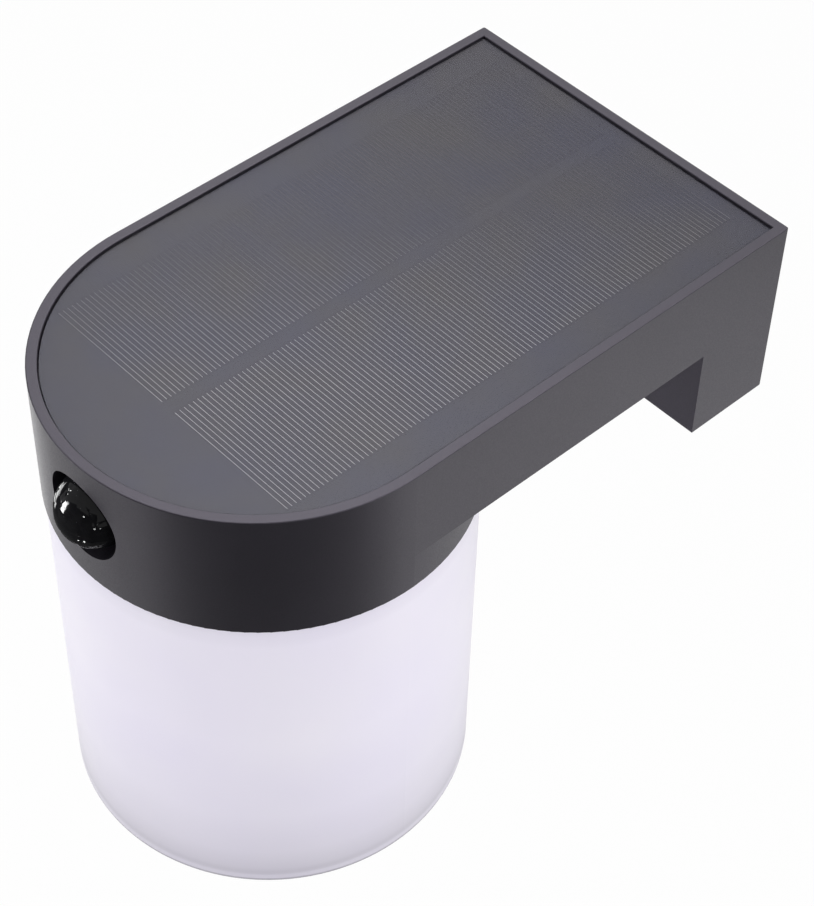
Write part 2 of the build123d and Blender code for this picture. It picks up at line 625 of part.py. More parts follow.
def battery_pieces():
    """The cell under the deck, its clamp and the tabs welded to its ends."""
    end = BATTERY_LENGTH / 2
    cell = bar_x(head_y, battery_z, -end, end, BATTERY_RADIUS)
    cell = fillet(cell.edges(), EDGE_RADIUS)
    clamp = bar_x(head_y, battery_z, -CLAMP_WIDTH / 2, CLAMP_WIDTH / 2, clamp_radius)
    clamp &= block(-CLAMP_WIDTH, CLAMP_WIDTH, head_y - clamp_radius, head_y + clamp_radius,
                   battery_z - clamp_radius, battery_z)
    flange_reach = clamp_screw_offset + boss_radius
    clamp += block(-CLAMP_WIDTH / 2, CLAMP_WIDTH / 2, head_y - flange_reach, head_y + flange_reach,
                   battery_z - CLAMP_FLANGE_THICKNESS, battery_z)
    clamp -= bar_x(head_y, battery_z, -CLAMP_WIDTH, CLAMP_WIDTH, clamp_bore)
    screws = []
    for x, y in clamp_screws_at:
        seat = battery_z - CLAMP_FLANGE_THICKNESS
        clamp -= post(x, y, seat, battery_z, SCREW_RADIUS + SCREW_GAP)
        screws.append(Pos(x, y, seat) * main_screw())
    tabs = [
        block(side * end, side * (end + TAB_THICKNESS), head_y - TAB_WIDTH / 2, head_y + TAB_WIDTH / 2,
              battery_z - TAB_WIDTH / 2, battery_z + TAB_WIDTH / 2)
        for side in (-1, 1)
    ]
    return {
        "battery_cell": cell,
        "battery_clamp": clamp,
        "battery_clamp_screws": group(screws),
        "battery_tabs": group(tabs),
    }


def arm_pieces():
    """The cover under the arm with its seal and screws, and the mode button with its seal."""
    cover = bay(PART_GAP, opening_front_y, arm_bottom, cover_top)
    seal = bay(PART_GAP, opening_front_y, cover_top, ledge_bottom)
    seal -= bay(LEDGE_WIDTH, opening_front_y, cover_top, ledge_bottom)
    pad = SCREW_HEAD_RADIUS + PART_GAP + COVER_PAD_WALL
    recess = cover_pad_top - COVER_THICKNESS
    screws = []
    for x, y in cover_screws_at:
        cover += post(x, y, cover_top, cover_pad_top, pad) & bay(
            LEDGE_WIDTH + PART_GAP, opening_front_y, cover_top, cover_pad_top
        )
        cover -= post(x, y, arm_bottom, cover_pad_top, SCREW_RADIUS + SCREW_GAP)
        cover -= post(x, y, arm_bottom, recess, SCREW_HEAD_RADIUS + PART_GAP)
        screws.append(Pos(x, y, recess) * main_screw())

    flange_radius = BUTTON_RADIUS + BUTTON_FLANGE_WIDTH
    pocket = cover_top - BUTTON_SEAL_THICKNESS
    cover -= post(0, button_y, arm_bottom, cover_top, BUTTON_RADIUS + SLIDE_GAP)
    cover -= post(0, button_y, pocket, cover_top, flange_radius + SLIDE_GAP)
    button_seal = post(0, button_y, pocket, cover_top, flange_radius + SLIDE_GAP - THREAD_GAP)
    button_seal -= post(0, button_y, pocket, cover_top, BUTTON_RADIUS + THREAD_GAP)
    button = post(0, button_y, arm_bottom - BUTTON_PROUD, cover_top, BUTTON_RADIUS)
    button = fillet(button.edges().group_by(Axis.Z)[0], EDGE_RADIUS)
    button += post(0, button_y, cover_top, button_flange_top, flange_radius)
    button += post(0, button_y, button_flange_top, button_stem_top, BUTTON_STEM_RADIUS)
    return {
        "arm_cover": cover,
        "arm_cover_seal": seal,
        "arm_cover_screws": group(screws),
        "button_seal": button_seal,
        "mode_button": button,
    }


def control_pieces():
    """The control board with its switch, chip, inductor, capacitors and screws."""
    half = CONTROL_BOARD_WIDTH / 2
    board = block(-half, half, control_back_y, control_front_y, control_under, control_top)
    screws = []
    for x, y in control_screws_at:
        board -= post(x, y, control_under, control_top, BOARD_SCREW_RADIUS + SCREW_GAP)
        screws.append(Pos(x, y, control_under) * board_screw())
    switch = block(-SWITCH_SIZE / 2, SWITCH_SIZE / 2, button_y - SWITCH_SIZE / 2, button_y + SWITCH_SIZE / 2,
                   switch_under, control_under)
    stem_top = switch_under + SWITCH_STEM_INSIDE
    switch -= post(0, button_y, switch_under, stem_top + BUTTON_TRAVEL + PART_GAP,
                   SWITCH_STEM_RADIUS + SLIDE_GAP)
    stem = post(0, button_y, button_stem_top, stem_top, SWITCH_STEM_RADIUS)
    middle_y = (control_back_y + control_front_y) / 2
    chip = block(-CHIP_SIZE / 2, CHIP_SIZE / 2, middle_y - CHIP_SIZE / 2, middle_y + CHIP_SIZE / 2,
                 control_top, control_top + CHIP_HEIGHT)
    inductor_x = half / 2
    inductor = post(inductor_x, middle_y, control_top, control_top + INDUCTOR_HEIGHT, INDUCTOR_RADIUS)
    capacitors = [
        post(inductor_x + n * (INDUCTOR_RADIUS + CAPACITOR_RADIUS + PART_GAP), middle_y, control_top,
             control_top + CAPACITOR_HEIGHT, CAPACITOR_RADIUS)
        for n in (-1, 1)
    ]
    return {
        "control_board": board,
        "control_board_screws": group(screws),
        "mode_switch": switch,
        "switch_stem": stem,
        "control_chip": chip,
        "power_inductor": inductor,
        "filter_capacitors": group(capacitors),
    }


def bracket_pieces():
    """The folded steel bracket that is screwed to the wall, and the screws that lock the light to it."""
    bracket = block(-bracket_half, bracket_half, -BRACKET_SHEET, 0, bracket_bottom, bracket_top)
    bracket += block(-bracket_half, bracket_half, -BRACKET_TOP_FLANGE, 0,
                     bracket_top - BRACKET_SHEET, bracket_top)
    bracket += block(-bracket_half, bracket_half, -BRACKET_BOTTOM_FLANGE, 0,
                     bracket_bottom, bracket_bottom + BRACKET_SHEET)
    bends = bracket.edges().filter_by(Axis.X).group_by(Axis.Y)[-1]
    bracket = fillet(bends, BRACKET_BEND_RADIUS)
    screws = []
    for side in (-1, 1):
        x = side * WALL_HOLE_SPACING / 2
        bracket -= bar_y(x, 0, -BRACKET_SHEET, 0, WALL_HOLE_RADIUS)
    for x, y in lock_screws_at:
        bracket -= post(x, y, bracket_bottom, bracket_bottom + BRACKET_SHEET, LOCK_RADIUS + THREAD_GAP)
        lock = screw(LOCK_RADIUS, LOCK_LENGTH, LOCK_HEAD_RADIUS, LOCK_HEAD_HEIGHT)
        screws.append(Pos(x, y, foot_bottom + LOCK_RECESS) * lock)
    return {"wall_bracket": bracket, "lock_screws": group(screws)}


def to_board(x):
    """The last stretch of a lead: through the window, along under the deck and down to its pad."""
    pad_y = control_front_y + LEAD_PAD_INSET
    window_y = head_y + half_width - LEAD_WINDOW_INSET
    return [(x, window_y, lead_level), (x, pad_y, lead_level), (x, pad_y, control_top)]


def sensor_lead(x):
    """One wire from the sensor's plug, under the battery and up to the window."""
    plug_back = sensor_board_back_y + SENSOR_PLUG_DEPTH
    plug_z = sensor_z - SENSOR_PLUG_DROP
    low = battery_z - clamp_radius - LEAD_UNDER_CLAMP
    first = plug_back + LEAD_PLUG_RUN
    rise_y = head_y + inner_half - LEAD_RISE_INSET
    return lead([(x, plug_back, plug_z), (x, first, plug_z), (x, first + LEAD_PLUG_DROP, low),
                 (x, rise_y, low), *to_board(x)])


def led_lead(side):
    """One wire from the diodes' plug up to the window."""
    x = side * LEAD_PITCH
    return lead([(x, led_plug_y, led_plug_top), (x, led_plug_y, led_plug_top + LED_LEAD_RISE),
                 (x, led_plug_y + LED_LEAD_RISE, lead_level - LED_LEAD_STEP), *to_board(x)])


def battery_lead(side):
    """One wire from a battery tab, round the inside of the head to the window."""
    tab_x = BATTERY_LENGTH / 2 + TAB_THICKNESS
    turn_x = tab_x + BATTERY_LEAD_RUN
    across, along = BATTERY_LEAD_INSETS
    near_x = BATTERY_LEAD_X + BATTERY_LEAD_SPREAD
    near_y = head_y + inner_half - BATTERY_LEAD_NEAR
    return lead([
        (side * tab_x, head_y, battery_z),
        (side * turn_x, head_y, battery_z),
        (side * (turn_x - BATTERY_LEAD_SLANT), head_y + BATTERY_LEAD_TURN, battery_z + BATTERY_LEAD_LIFT),
        (side * (inner_half - across), head_y + inner_half - along, lead_level),
        (side * near_x, near_y, lead_level + BATTERY_LEAD_STEP),
        *to_board(side * BATTERY_LEAD_X),
    ])


def panel_lead(side):
    """One wire from the panel down through the deck to the control board."""
    x = PANEL_HOLE_X + side * LEAD_PITCH / 2
    step_y = button_y - PANEL_LEAD_STEP
    return lead([(x, button_y, tape_top), (x, button_y, deck_under - PANEL_LEAD_DROP),
                 (x, step_y, control_top + PANEL_LEAD_RISE), (x, step_y, control_top)])


def lead_pieces():
    """The leads between the boards, the panel, the battery and the diodes."""
    pieces = {"sensor_leads": group([sensor_lead(SENSOR_PLUG_X + n * LEAD_PITCH) for n in (-1, 0, 1)])}
    for colour, side in (("red", 1), ("black", -1)):
        pieces["led_lead_" + colour] = led_lead(side)
        pieces["battery_lead_" + colour] = battery_lead(side)
        pieces["panel_lead_" + colour] = panel_lead(side)
    return pieces


os.makedirs("parts", exist_ok=True)
nodes = {"housing": housing()}
for section in (panel_pieces, sensor_pieces, lamp_pieces, battery_pieces, arm_pieces,
                control_pieces, bracket_pieces, lead_pieces):
    nodes.update(section())
for name, shape in nodes.items():
    export_step(shape, f"parts/{name}.step")
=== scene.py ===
from math import cos, pi, radians, sin

import bmesh
import bpy
from mathutils import Matrix, Vector


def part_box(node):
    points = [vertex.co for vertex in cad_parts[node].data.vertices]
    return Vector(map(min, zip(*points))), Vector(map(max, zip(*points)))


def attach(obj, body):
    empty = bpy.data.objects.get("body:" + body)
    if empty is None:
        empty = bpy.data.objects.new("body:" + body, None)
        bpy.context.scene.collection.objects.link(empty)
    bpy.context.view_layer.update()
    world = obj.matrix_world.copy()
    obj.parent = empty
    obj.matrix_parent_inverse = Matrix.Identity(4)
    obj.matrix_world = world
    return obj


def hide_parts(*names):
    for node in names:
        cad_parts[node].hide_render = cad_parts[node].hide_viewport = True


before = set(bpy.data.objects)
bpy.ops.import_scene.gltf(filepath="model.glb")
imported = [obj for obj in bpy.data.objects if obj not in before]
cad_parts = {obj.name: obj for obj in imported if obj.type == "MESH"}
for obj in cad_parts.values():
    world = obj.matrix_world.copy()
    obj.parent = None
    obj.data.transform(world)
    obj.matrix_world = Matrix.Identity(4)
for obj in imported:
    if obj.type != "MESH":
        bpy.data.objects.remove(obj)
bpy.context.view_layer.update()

# A solar wall light, in metres. The wall is the plane y = 0, the front looks along -Y and +Z is up.
MM = 0.001

# Camera, at the place from which the light was photographed
CAMERA_PLACE = Vector((0.3056, -0.3700, 0.4123))
CAMERA_AZIMUTH = 46.13
CAMERA_ELEVATION = 47.03
CAMERA_ROLL = 1.60
CAMERA_LENS = 93.77
CAMERA_SENSOR = 36.0

# Solar cells and the clear film over them
COLUMN_GAP = 3.6 * MM
CELL_COUNT = 11
CELL_GAP = 0.4 * MM
FINGERS_PER_CELL = 10
FINGER_WIDTH = 0.15 * MM
FINGER_HEIGHT = 0.03 * MM
FINGER_END_GAP = 0.5 * MM
FILM_SHEET = 0.2 * MM
FILM_EDGE = 0.05 * MM
FILM_ARC_STEPS = 96

# Motion sensor's lens
LENS_RADIUS = 9.6 * MM
LENS_SHELL = 1.0 * MM
LENS_COLLAR = 6.6 * MM
LENS_FLANGE_WIDTH = 3.2 * MM
LENS_RINGS = ((16.0, 1), (36.0, 6), (57.0, 10), (90.0, 14))  # outer angle and number of facets
LENS_GROOVE = 0.12 * MM
LENS_GROOVE_REACH = 1.9 * MM
LENS_TURNS = 168
LENS_STEPS = 60

# Angles, in degrees, above which an edge stays sharp
FILM_SMOOTH_ANGLE = 30
LENS_SMOOTH_ANGLE = 40

# Diffuser: painted shade, given as how light it is at some heights, in millimetres above its lowest edge.
# Its floor and the lamp base show through as darker bands, painted in, as are a dark line along the lowest
# edge, a darkening towards the bottom and a greyer band under the skirt where its shadow falls.
DIFFUSER_PAINTED_SHADE = ((0.0, 0.80), (0.1, 0.80), (0.3, 0.32), (1.4, 0.36), (2.0, 0.76), (3.1, 0.78), (4.0, 0.67),
                  (4.8, 0.65), (6.5, 0.72), (9.0, 0.76), (14.0, 0.83), (30.0, 0.93), (60.0, 1.0), (98.0, 1.0),
                  (100.0, 0.97), (104.2, 0.94))

# Colours of the finishes that show most, and the tints of their reflections
BLACK_PLASTIC = (0.0125, 0.0110, 0.0155)
BLACK_TINT = (0.90, 0.84, 1.0, 1.0)
PANEL_TINT = (0.86, 0.86, 1.0, 1.0)
FILM_COOL = (0.050, 0.050, 0.082)
FILM_WARM = (0.074, 0.067, 0.066)
LENS_DARK = (0.0030, 0.0030, 0.0035)
LENS_PALE = (0.0045, 0.0045, 0.0050)
OPAL_COOL = (0.850, 0.812, 0.950)
OPAL_WARM = (0.885, 0.852, 0.960)
PASTE_BRIGHT = (0.95, 0.94, 0.93)
PASTE_DARK = (0.12, 0.115, 0.12)
PASTE_FADE = (-1.7, 1.0, 0.0)  # the way along which the lines fade to dark
PASTE_FADE_STOP = 45 * MM  # from the back of the cells
ZINC_DARK = (0.56, 0.57, 0.59)
ZINC_PALE = (0.70, 0.71, 0.73)

# Sizes of the patterns in the finishes
DRIFT_SIZE = 18 * MM
STREAK_SIZE = 0.4 * MM
PATCH_SIZE = 3 * MM
CRYSTAL_SIZE = 5 * MM
TRACK_PITCH = 6 * MM
CELL_TONE_SIZE = 26 * MM
HAZE_SIZE = 22 * MM
CLOUD_SIZE = 45 * MM

# Stage, with places and sizes in metres and the lamps' powers in watts
AIM = (0.0, -0.10, -0.03)
LENS_AIM = (0.0, -0.18, 0.01)
FLOOR_LEVEL = -0.42
FLOOR_SIZE = 12.0
FLOOR_TONE = 0.86
FLOOR_GLOW = 0.92
CLOTH_TONE = 0.004
CLOTH_ROUGHNESS = 0.9
AMBIENT = 0.75
DARK_CARDS = (
    ("low_card", (0.22, -0.27, -0.20), (0.56, 0.30)),
    ("front_card", (0.25, -1.35, 0.25), (2.2, 1.1)),
    ("left_card", (-1.50, -0.10, 0.05), (1.6, 0.7)),
    ("back_card", (0.36, 0.50, -0.36), (0.40, 0.40)),
)
STUDIO_LAMPS = (
    ("top_box", (-0.40, 0.30, 0.97), (0.4, 0.4), 2.2),
    ("left_high_box", (-0.71, 0.30, 0.77), (0.4, 0.4), 0.7),
    ("left_box", (-0.92, -0.63, 0.40), (0.05, 0.06), 0.8),
    ("front_left_box", (-0.63, -1.02, 0.26), (0.14, 0.14), 2.3),
    ("right_box", (1.07, 0.02, 0.315), (0.30, 0.30), 2.4),
)
HOUSING_LAMPS = (
    ("edge_light", (0.43, 0.42, 0.90), (0.30, 0.30), 5.0),
    ("left_edge_light", (-0.41, -0.10, -0.365), (0.12, 0.25), 0.17),
    ("side_light", (0.31, 0.145, -0.365), (0.45, 0.45), 0.2),
)
LENS_LAMPS = (
    ("lens_main_box", (-0.535, -0.778, 0.03), (0.20, 0.26), 11.0),
    ("lens_side_box", (-0.747, -0.259, -0.274), (0.25, 0.40), 1.8),
    ("lens_glint_middle", (0.337, -0.855, 0.288), (0.08, 0.04), 1.6),
    ("lens_glint_right", (0.68, -0.577, -0.161), (0.04, 0.05), 0.5),
    ("lens_glint_low", (-0.02, -0.375, -0.34), (0.03, 0.03), 0.12),
)


def mesh_from(name, build):
    """A mesh from a function that fills a bmesh."""
    form = bmesh.new()
    build(form)
    bmesh.ops.recalc_face_normals(form, faces=form.faces)
    mesh = bpy.data.meshes.new(name)
    form.to_mesh(mesh)
    form.free()
    return mesh


def new_piece(name, build, body, finish):
    """Makes a piece with a building function. It rides on a body and takes a material slot's finish."""
    mesh = mesh_from(name, build)
    piece = bpy.data.objects.new(name, mesh)
    bpy.context.scene.collection.objects.link(piece)
    mesh.materials.append(finish)
    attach(piece, body)
    return piece


def add_box(form, low, high):
    """Adds a box between two corners."""
    centre = (Vector(low) + Vector(high)) / 2
    size = Vector(high) - Vector(low)
    bmesh.ops.create_cube(form, size=1.0, matrix=Matrix.Translation(centre) @ Matrix.Diagonal((*size, 1.0)))


# Materials
class Nodes:
    """A material's node tree with short calls for the nodes that the finishes share."""

    def __init__(self, name):
        self.material = bpy.data.materials.new(name)
        self.material.use_nodes = True
        self.tree = self.material.node_tree
        self.shader = self.tree.nodes["Principled BSDF"]
        self.place = self.add("ShaderNodeTexCoord").outputs["Object"]

    def add(self, kind, **values):
        """Adds a node and sets its own properties."""
        node = self.tree.nodes.new(kind)
        for key, value in values.items():
            setattr(node, key, value)
        return node

    def link(self, start, end):
        self.tree.links.new(start, end)

    def sockets(self, **values):
        """Sets sockets of the shader, with _ for a space in their names."""
        for key, value in values.items():
            self.shader.inputs[key.replace("_", " ")].default_value = value

    def noise(self, size, detail=3.0, stretch=None):
        """Noise with features of about this size, in metres."""
        node = self.add("ShaderNodeTexNoise")
        node.inputs["Scale"].default_value = 1.0 / size
        node.inputs["Detail"].default_value = detail
        place = self.place
        if stretch:
            mapping = self.add("ShaderNodeMapping")
            mapping.inputs["Scale"].default_value = stretch
            self.link(place, mapping.inputs["Vector"])
            place = mapping.outputs["Vector"]
        self.link(place, node.inputs["Vector"])
        return node.outputs["Fac"]

    def spread(self, value, low, high, from_low=0.3, from_high=0.7):
        """Maps a value between two limits."""
        node = self.add("ShaderNodeMapRange")
        limits = {"From Min": from_low, "From Max": from_high, "To Min": low, "To Max": high}
        for socket, number in limits.items():
            node.inputs[socket].default_value = number
        self.link(value, node.inputs["Value"])
        return node.outputs["Result"]

    def mix(self, share, first, second):
        """Mixes two colours, each a tuple or a socket."""
        node = self.add("ShaderNodeMix", data_type="RGBA")
        self.link(share, node.inputs["Factor"])
        for colour, socket in ((first, node.inputs["A"]), (second, node.inputs["B"])):
            if isinstance(colour, tuple):
                socket.default_value = (*colour, 1.0)
            else:
                self.link(colour, socket)
        return node.outputs["Result"]

    def ramp(self, value, stops):
        """A factor that follows stops of a place between 0 and 1 and a tone."""
        node = self.add("ShaderNodeValToRGB")
        points = node.color_ramp.elements
        while len(points) < len(stops):
            points.new(0.5)
        for point, (place, tone) in zip(points, stops):
            point.position = place
            point.color = (tone, tone, tone, 1.0)
        self.link(value, node.inputs["Fac"])
        return node.outputs["Color"]

    def times(self, first, second):
        """Multiplies two colours."""
        node = self.add("ShaderNodeMix", data_type="RGBA", blend_type="MULTIPLY")
        node.inputs["Factor"].default_value = 1.0
        self.link(first, node.inputs["A"])
        self.link(second, node.inputs["B"])
        return node.outputs["Result"]

    def along(self, direction):
        """The place along a direction, in metres."""
        node = self.add("ShaderNodeVectorMath", operation="DOT_PRODUCT")
        self.link(self.place, node.inputs[0])
        node.inputs[1].default_value = direction
        return node.outputs["Value"]

    def colour(self, socket):
        self.link(socket, self.shader.inputs["Base Color"])

    def roughness(self, socket):
        self.link(socket, self.shader.inputs["Roughness"])

    def mottled(self, pattern, colour, share):
        """Colours the shader with a colour that a pattern makes darker and lighter by a share."""
        darker = shade(colour, 1 - share)
        lighter = shade(colour, 1 + share)
        self.colour(self.mix(self.spread(pattern, 0.0, 1.0), darker, lighter))

    def bump(self, height, depth):
        """Bump of about this depth, in metres."""
        node = self.add("ShaderNodeBump")
        node.inputs["Distance"].default_value = depth
        self.link(height, node.inputs["Height"])
        self.link(node.outputs["Normal"], self.shader.inputs["Normal"])


def shade(colour, factor):
    """A colour made darker or lighter."""
    return tuple(min(1.0, part * factor) for part in colour)


def moulded(name, colour, rough, grain, relief, mottle=0.10, rough_spread=0.06, **sockets):
    """Moulded plastic or rubber: a fine grain in relief, and a slow drift in colour and gloss."""
    nodes = Nodes(name)
    drift = nodes.noise(DRIFT_SIZE, 2.0)
    fine = nodes.noise(grain, 4.0)
    nodes.mottled(drift, colour, mottle)
    nodes.roughness(nodes.spread(fine, rough - rough_spread, rough + rough_spread))
    nodes.bump(fine, relief)
    nodes.sockets(**sockets)
    return nodes.material


def metal(name, colour, rough, streak, relief, mottle=0.12, rough_spread=0.10):
    """Plated or drawn metal, with fine streaks along an axis."""
    nodes = Nodes(name)
    streaks = nodes.noise(STREAK_SIZE, 3.0, streak)
    patches = nodes.noise(PATCH_SIZE, 2.0)
    nodes.mottled(patches, colour, mottle)
    nodes.roughness(nodes.spread(streaks, rough - rough_spread, rough + rough_spread))
    nodes.bump(streaks, relief)
    nodes.sockets(Metallic=1.0)
    return nodes.material


def zinc_plate(name):
    """Galvanised sheet, with the soft crystal patches of its zinc."""
    nodes = Nodes(name)
    crystals = nodes.add("ShaderNodeTexVoronoi")
    crystals.inputs["Scale"].default_value = 1.0 / CRYSTAL_SIZE
    nodes.link(nodes.place, crystals.inputs["Vector"])
    tone = nodes.add("ShaderNodeSeparateColor")
    nodes.link(crystals.outputs["Color"], tone.inputs["Color"])
    fine = nodes.noise(0.5 * MM, 3.0)
    nodes.colour(nodes.mix(tone.outputs["Red"], ZINC_DARK, ZINC_PALE))
    nodes.roughness(nodes.spread(tone.outputs["Green"], 0.28, 0.46, 0.0, 1.0))
    nodes.bump(fine, 0.01 * MM)
    nodes.sockets(Metallic=1.0)
    return nodes.material


def circuit_board(name, mask, track):
    """Solder mask over copper tracks, seen as paler lines in low relief."""
    nodes = Nodes(name)
    bricks = nodes.add("ShaderNodeTexBrick", offset=0.37, squash=0.6, squash_frequency=3)
    bricks.inputs["Scale"].default_value = 1.0 / TRACK_PITCH
    bricks.inputs["Mortar Size"].default_value = 0.035
    bricks.inputs["Mortar Smooth"].default_value = 0.3
    nodes.link(nodes.place, bricks.inputs["Vector"])
    fine = nodes.noise(0.6 * MM)
    ground = nodes.mix(nodes.spread(fine, 0.0, 1.0), shade(mask, 0.92), shade(mask, 1.08))
    nodes.colour(nodes.mix(bricks.outputs["Fac"], ground, track))
    nodes.roughness(nodes.spread(fine, 0.28, 0.40))
    nodes.bump(bricks.outputs["Fac"], 0.03 * MM)
    return nodes.material


def dark_cell(name, cool, warm):
    """A dark layer of the solar panel, with a faint change of tone from place to place."""
    nodes = Nodes(name)
    tone = nodes.noise(CELL_TONE_SIZE, 1.0)
    nodes.colour(nodes.mix(nodes.spread(tone, 0.0, 1.0), cool, warm))
    nodes.roughness(nodes.spread(tone, 0.40, 0.42))
    nodes.bump(tone, 0.01 * MM)
    nodes.sockets(Specular_IOR_Level=0.77, Specular_Tint=PANEL_TINT)
    return nodes.material


def silver_paste(name):
    """Printed silver lines, bright towards the round end and the right side of the panel and fading to dark
    away from them.
    """
    nodes = Nodes(name)
    low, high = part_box("solar_cells")
    fine = nodes.noise(0.8 * MM, 2.0)
    fade = nodes.spread(nodes.along(PASTE_FADE), 0.0, 1.0, low.y, high.y - PASTE_FADE_STOP)
    nodes.colour(nodes.mix(fade, PASTE_BRIGHT, PASTE_DARK))
    nodes.roughness(nodes.spread(fine, 0.40, 0.55))
    nodes.bump(fine, 0.001 * MM)
    return nodes.material


def clear_film(name):
    """Laminate film with a matt haze, clear enough for the cells' lines to show."""
    nodes = Nodes(name)
    haze = nodes.noise(HAZE_SIZE, 2.0)
    nodes.colour(nodes.mix(nodes.spread(haze, 0.0, 1.0), FILM_COOL, FILM_WARM))
    nodes.roughness(nodes.spread(haze, 0.38, 0.40))
    nodes.bump(haze, 0.01 * MM)
    nodes.sockets(Alpha=0.27, Specular_IOR_Level=0.85, Specular_Tint=PANEL_TINT)
    return nodes.material


def lens_black(name):
    """Glossy black polymer that lets infrared through."""
    nodes = Nodes(name)
    fine = nodes.noise(2.5 * MM, 2.0)
    nodes.colour(nodes.mix(nodes.spread(fine, 0.0, 1.0), LENS_DARK, LENS_PALE))
    nodes.roughness(nodes.spread(fine, 0.05, 0.09))
    nodes.bump(fine, 0.006 * MM)
    nodes.sockets(Specular_IOR_Level=0.12)
    return nodes.material


def opal_plastic(name):
    """Milky diffuser with painted shade: a little greyer under the skirt and towards its floor, whose edge
    shows.
    """
    nodes = Nodes(name)
    low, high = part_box("diffuser")
    level = nodes.spread(nodes.along((0, 0, 1)), 0.0, 1.0, low.z, high.z)
    tall = (high.z - low.z) / MM
    cloud = nodes.noise(CLOUD_SIZE, 2.0)
    fine = nodes.noise(4 * MM, 2.0)
    body = nodes.mix(nodes.spread(cloud, 0.0, 1.0), OPAL_COOL, OPAL_WARM)
    # The ramp paints the diffuser's shade by height into its colour.
    stops = [(rise / tall, tone) for rise, tone in DIFFUSER_PAINTED_SHADE]
    nodes.colour(nodes.times(body, nodes.ramp(level, stops)))
    nodes.roughness(nodes.spread(fine, 0.28, 0.34))
    nodes.bump(fine, 0.002 * MM)
    nodes.sockets(Subsurface_Weight=0.15, Subsurface_Radius=(1.0, 0.95, 1.0), Subsurface_Scale=0.8 * MM,
                  Specular_IOR_Level=0.30)
    return nodes.material


# The finish of each material slot: its name, colour, roughness, grain or streaks, and relief
finishes = {
    "housing_black": moulded("housing_finish", BLACK_PLASTIC, 0.44, 0.35 * MM, 0.006 * MM,
                             Specular_IOR_Level=0.62, Specular_Tint=BLACK_TINT),
    "foam_tape": moulded("foam_tape_finish", (0.045, 0.045, 0.047), 0.85, 0.5 * MM, 0.08 * MM),
    "panel_dark": dark_cell("panel_dark_finish", (0.028, 0.027, 0.036), (0.036, 0.033, 0.033)),
    "cell_silicon": dark_cell("silicon_finish", (0.012, 0.011, 0.018), (0.017, 0.015, 0.015)),
    "panel_film": clear_film("film_finish"),
    "lens_black": lens_black("lens_finish"),
    "can_metal": metal("can_finish", (0.72, 0.71, 0.69), 0.30, (1, 6, 1), 0.004 * MM),
    "board_green": circuit_board("board_finish", (0.012, 0.085, 0.040), (0.035, 0.170, 0.085)),
    "plug_white": moulded("plug_finish", (0.74, 0.72, 0.66), 0.42, 0.5 * MM, 0.010 * MM),
    "screw_steel": metal("screw_finish", (0.50, 0.50, 0.51), 0.34, (1, 1, 8), 0.006 * MM),
    "base_white": moulded("base_finish", (0.78, 0.77, 0.75), 0.48, 0.5 * MM, 0.012 * MM, 0.03),
    "led_board_white": circuit_board("led_board_finish", (0.80, 0.80, 0.78), (0.70, 0.70, 0.68)),
    "diode_yellow": moulded("diode_finish", (0.82, 0.62, 0.12), 0.30, 0.3 * MM, 0.010 * MM),
    "seal_rubber": moulded("seal_finish", (0.030, 0.030, 0.032), 0.72, 0.3 * MM, 0.020 * MM),
    "opal_plastic": opal_plastic("opal_finish"),
    "battery_wrap": moulded("battery_finish", (0.030, 0.130, 0.330), 0.30, 1.5 * MM, 0.010 * MM),
    "clamp_grey": moulded("clamp_finish", (0.120, 0.120, 0.125), 0.50, 0.4 * MM, 0.012 * MM),
    "tab_nickel": metal("nickel_finish", (0.72, 0.70, 0.66), 0.28, (1, 8, 1), 0.004 * MM),
    "button_grey": moulded("button_finish", (0.095, 0.095, 0.100), 0.55, 0.3 * MM, 0.015 * MM),
    "switch_black": moulded("switch_finish", (0.018, 0.018, 0.019), 0.38, 0.3 * MM, 0.008 * MM),
    "inductor_ferrite": moulded("ferrite_finish", (0.045, 0.043, 0.042), 0.62, 0.3 * MM, 0.030 * MM),
    "capacitor_can": metal("capacitor_finish", (0.66, 0.67, 0.69), 0.32, (6, 6, 1), 0.006 * MM),
    "bracket_zinc": zinc_plate("zinc_finish"),
    "lead_red": moulded("lead_red_finish", (0.46, 0.020, 0.018), 0.40, 0.6 * MM, 0.008 * MM),
    "lead_black": moulded("lead_black_finish", (0.020, 0.020, 0.021), 0.40, 0.6 * MM, 0.008 * MM),
    "lead_white": moulded("lead_white_finish", (0.70, 0.69, 0.66), 0.42, 0.6 * MM, 0.008 * MM),
}

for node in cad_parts.values():
    for place in node.material_slots:
        place.material = finishes[place.material.name.split(".")[0]]


def finger_lines(form):
    """The fine silver lines printed across the cells, at one even pitch."""
    low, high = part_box("solar_cells")
    count = CELL_COUNT * FINGERS_PER_CELL
    step = (high.y - low.y + CELL_GAP) / count
    inner = COLUMN_GAP / 2 + FINGER_END_GAP
    outer = high.x - FINGER_END_GAP
    for side in (-1, 1):
        x0, x1 = sorted((side * inner, side * outer))
        for finger in range(count):
            y = low.y + (finger + 0.5) * step
            low_corner = (x0, y - FINGER_WIDTH / 2, high.z)
            high_corner = (x1, y + FINGER_WIDTH / 2, high.z + FINGER_HEIGHT)
            add_box(form, low_corner, high_corner)


def film_outline(inset):
    """The D-shaped outline of the film, drawn in by an inset."""
    low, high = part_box("panel_film")
    half = high.x - inset
    head_y = low.y + high.x
    arc = [(half * cos(pi * n / FILM_ARC_STEPS), head_y - half * sin(pi * n / FILM_ARC_STEPS))
           for n in range(FILM_ARC_STEPS + 1)]
    return [(half, high.y - inset), *arc, (-half, high.y - inset)]


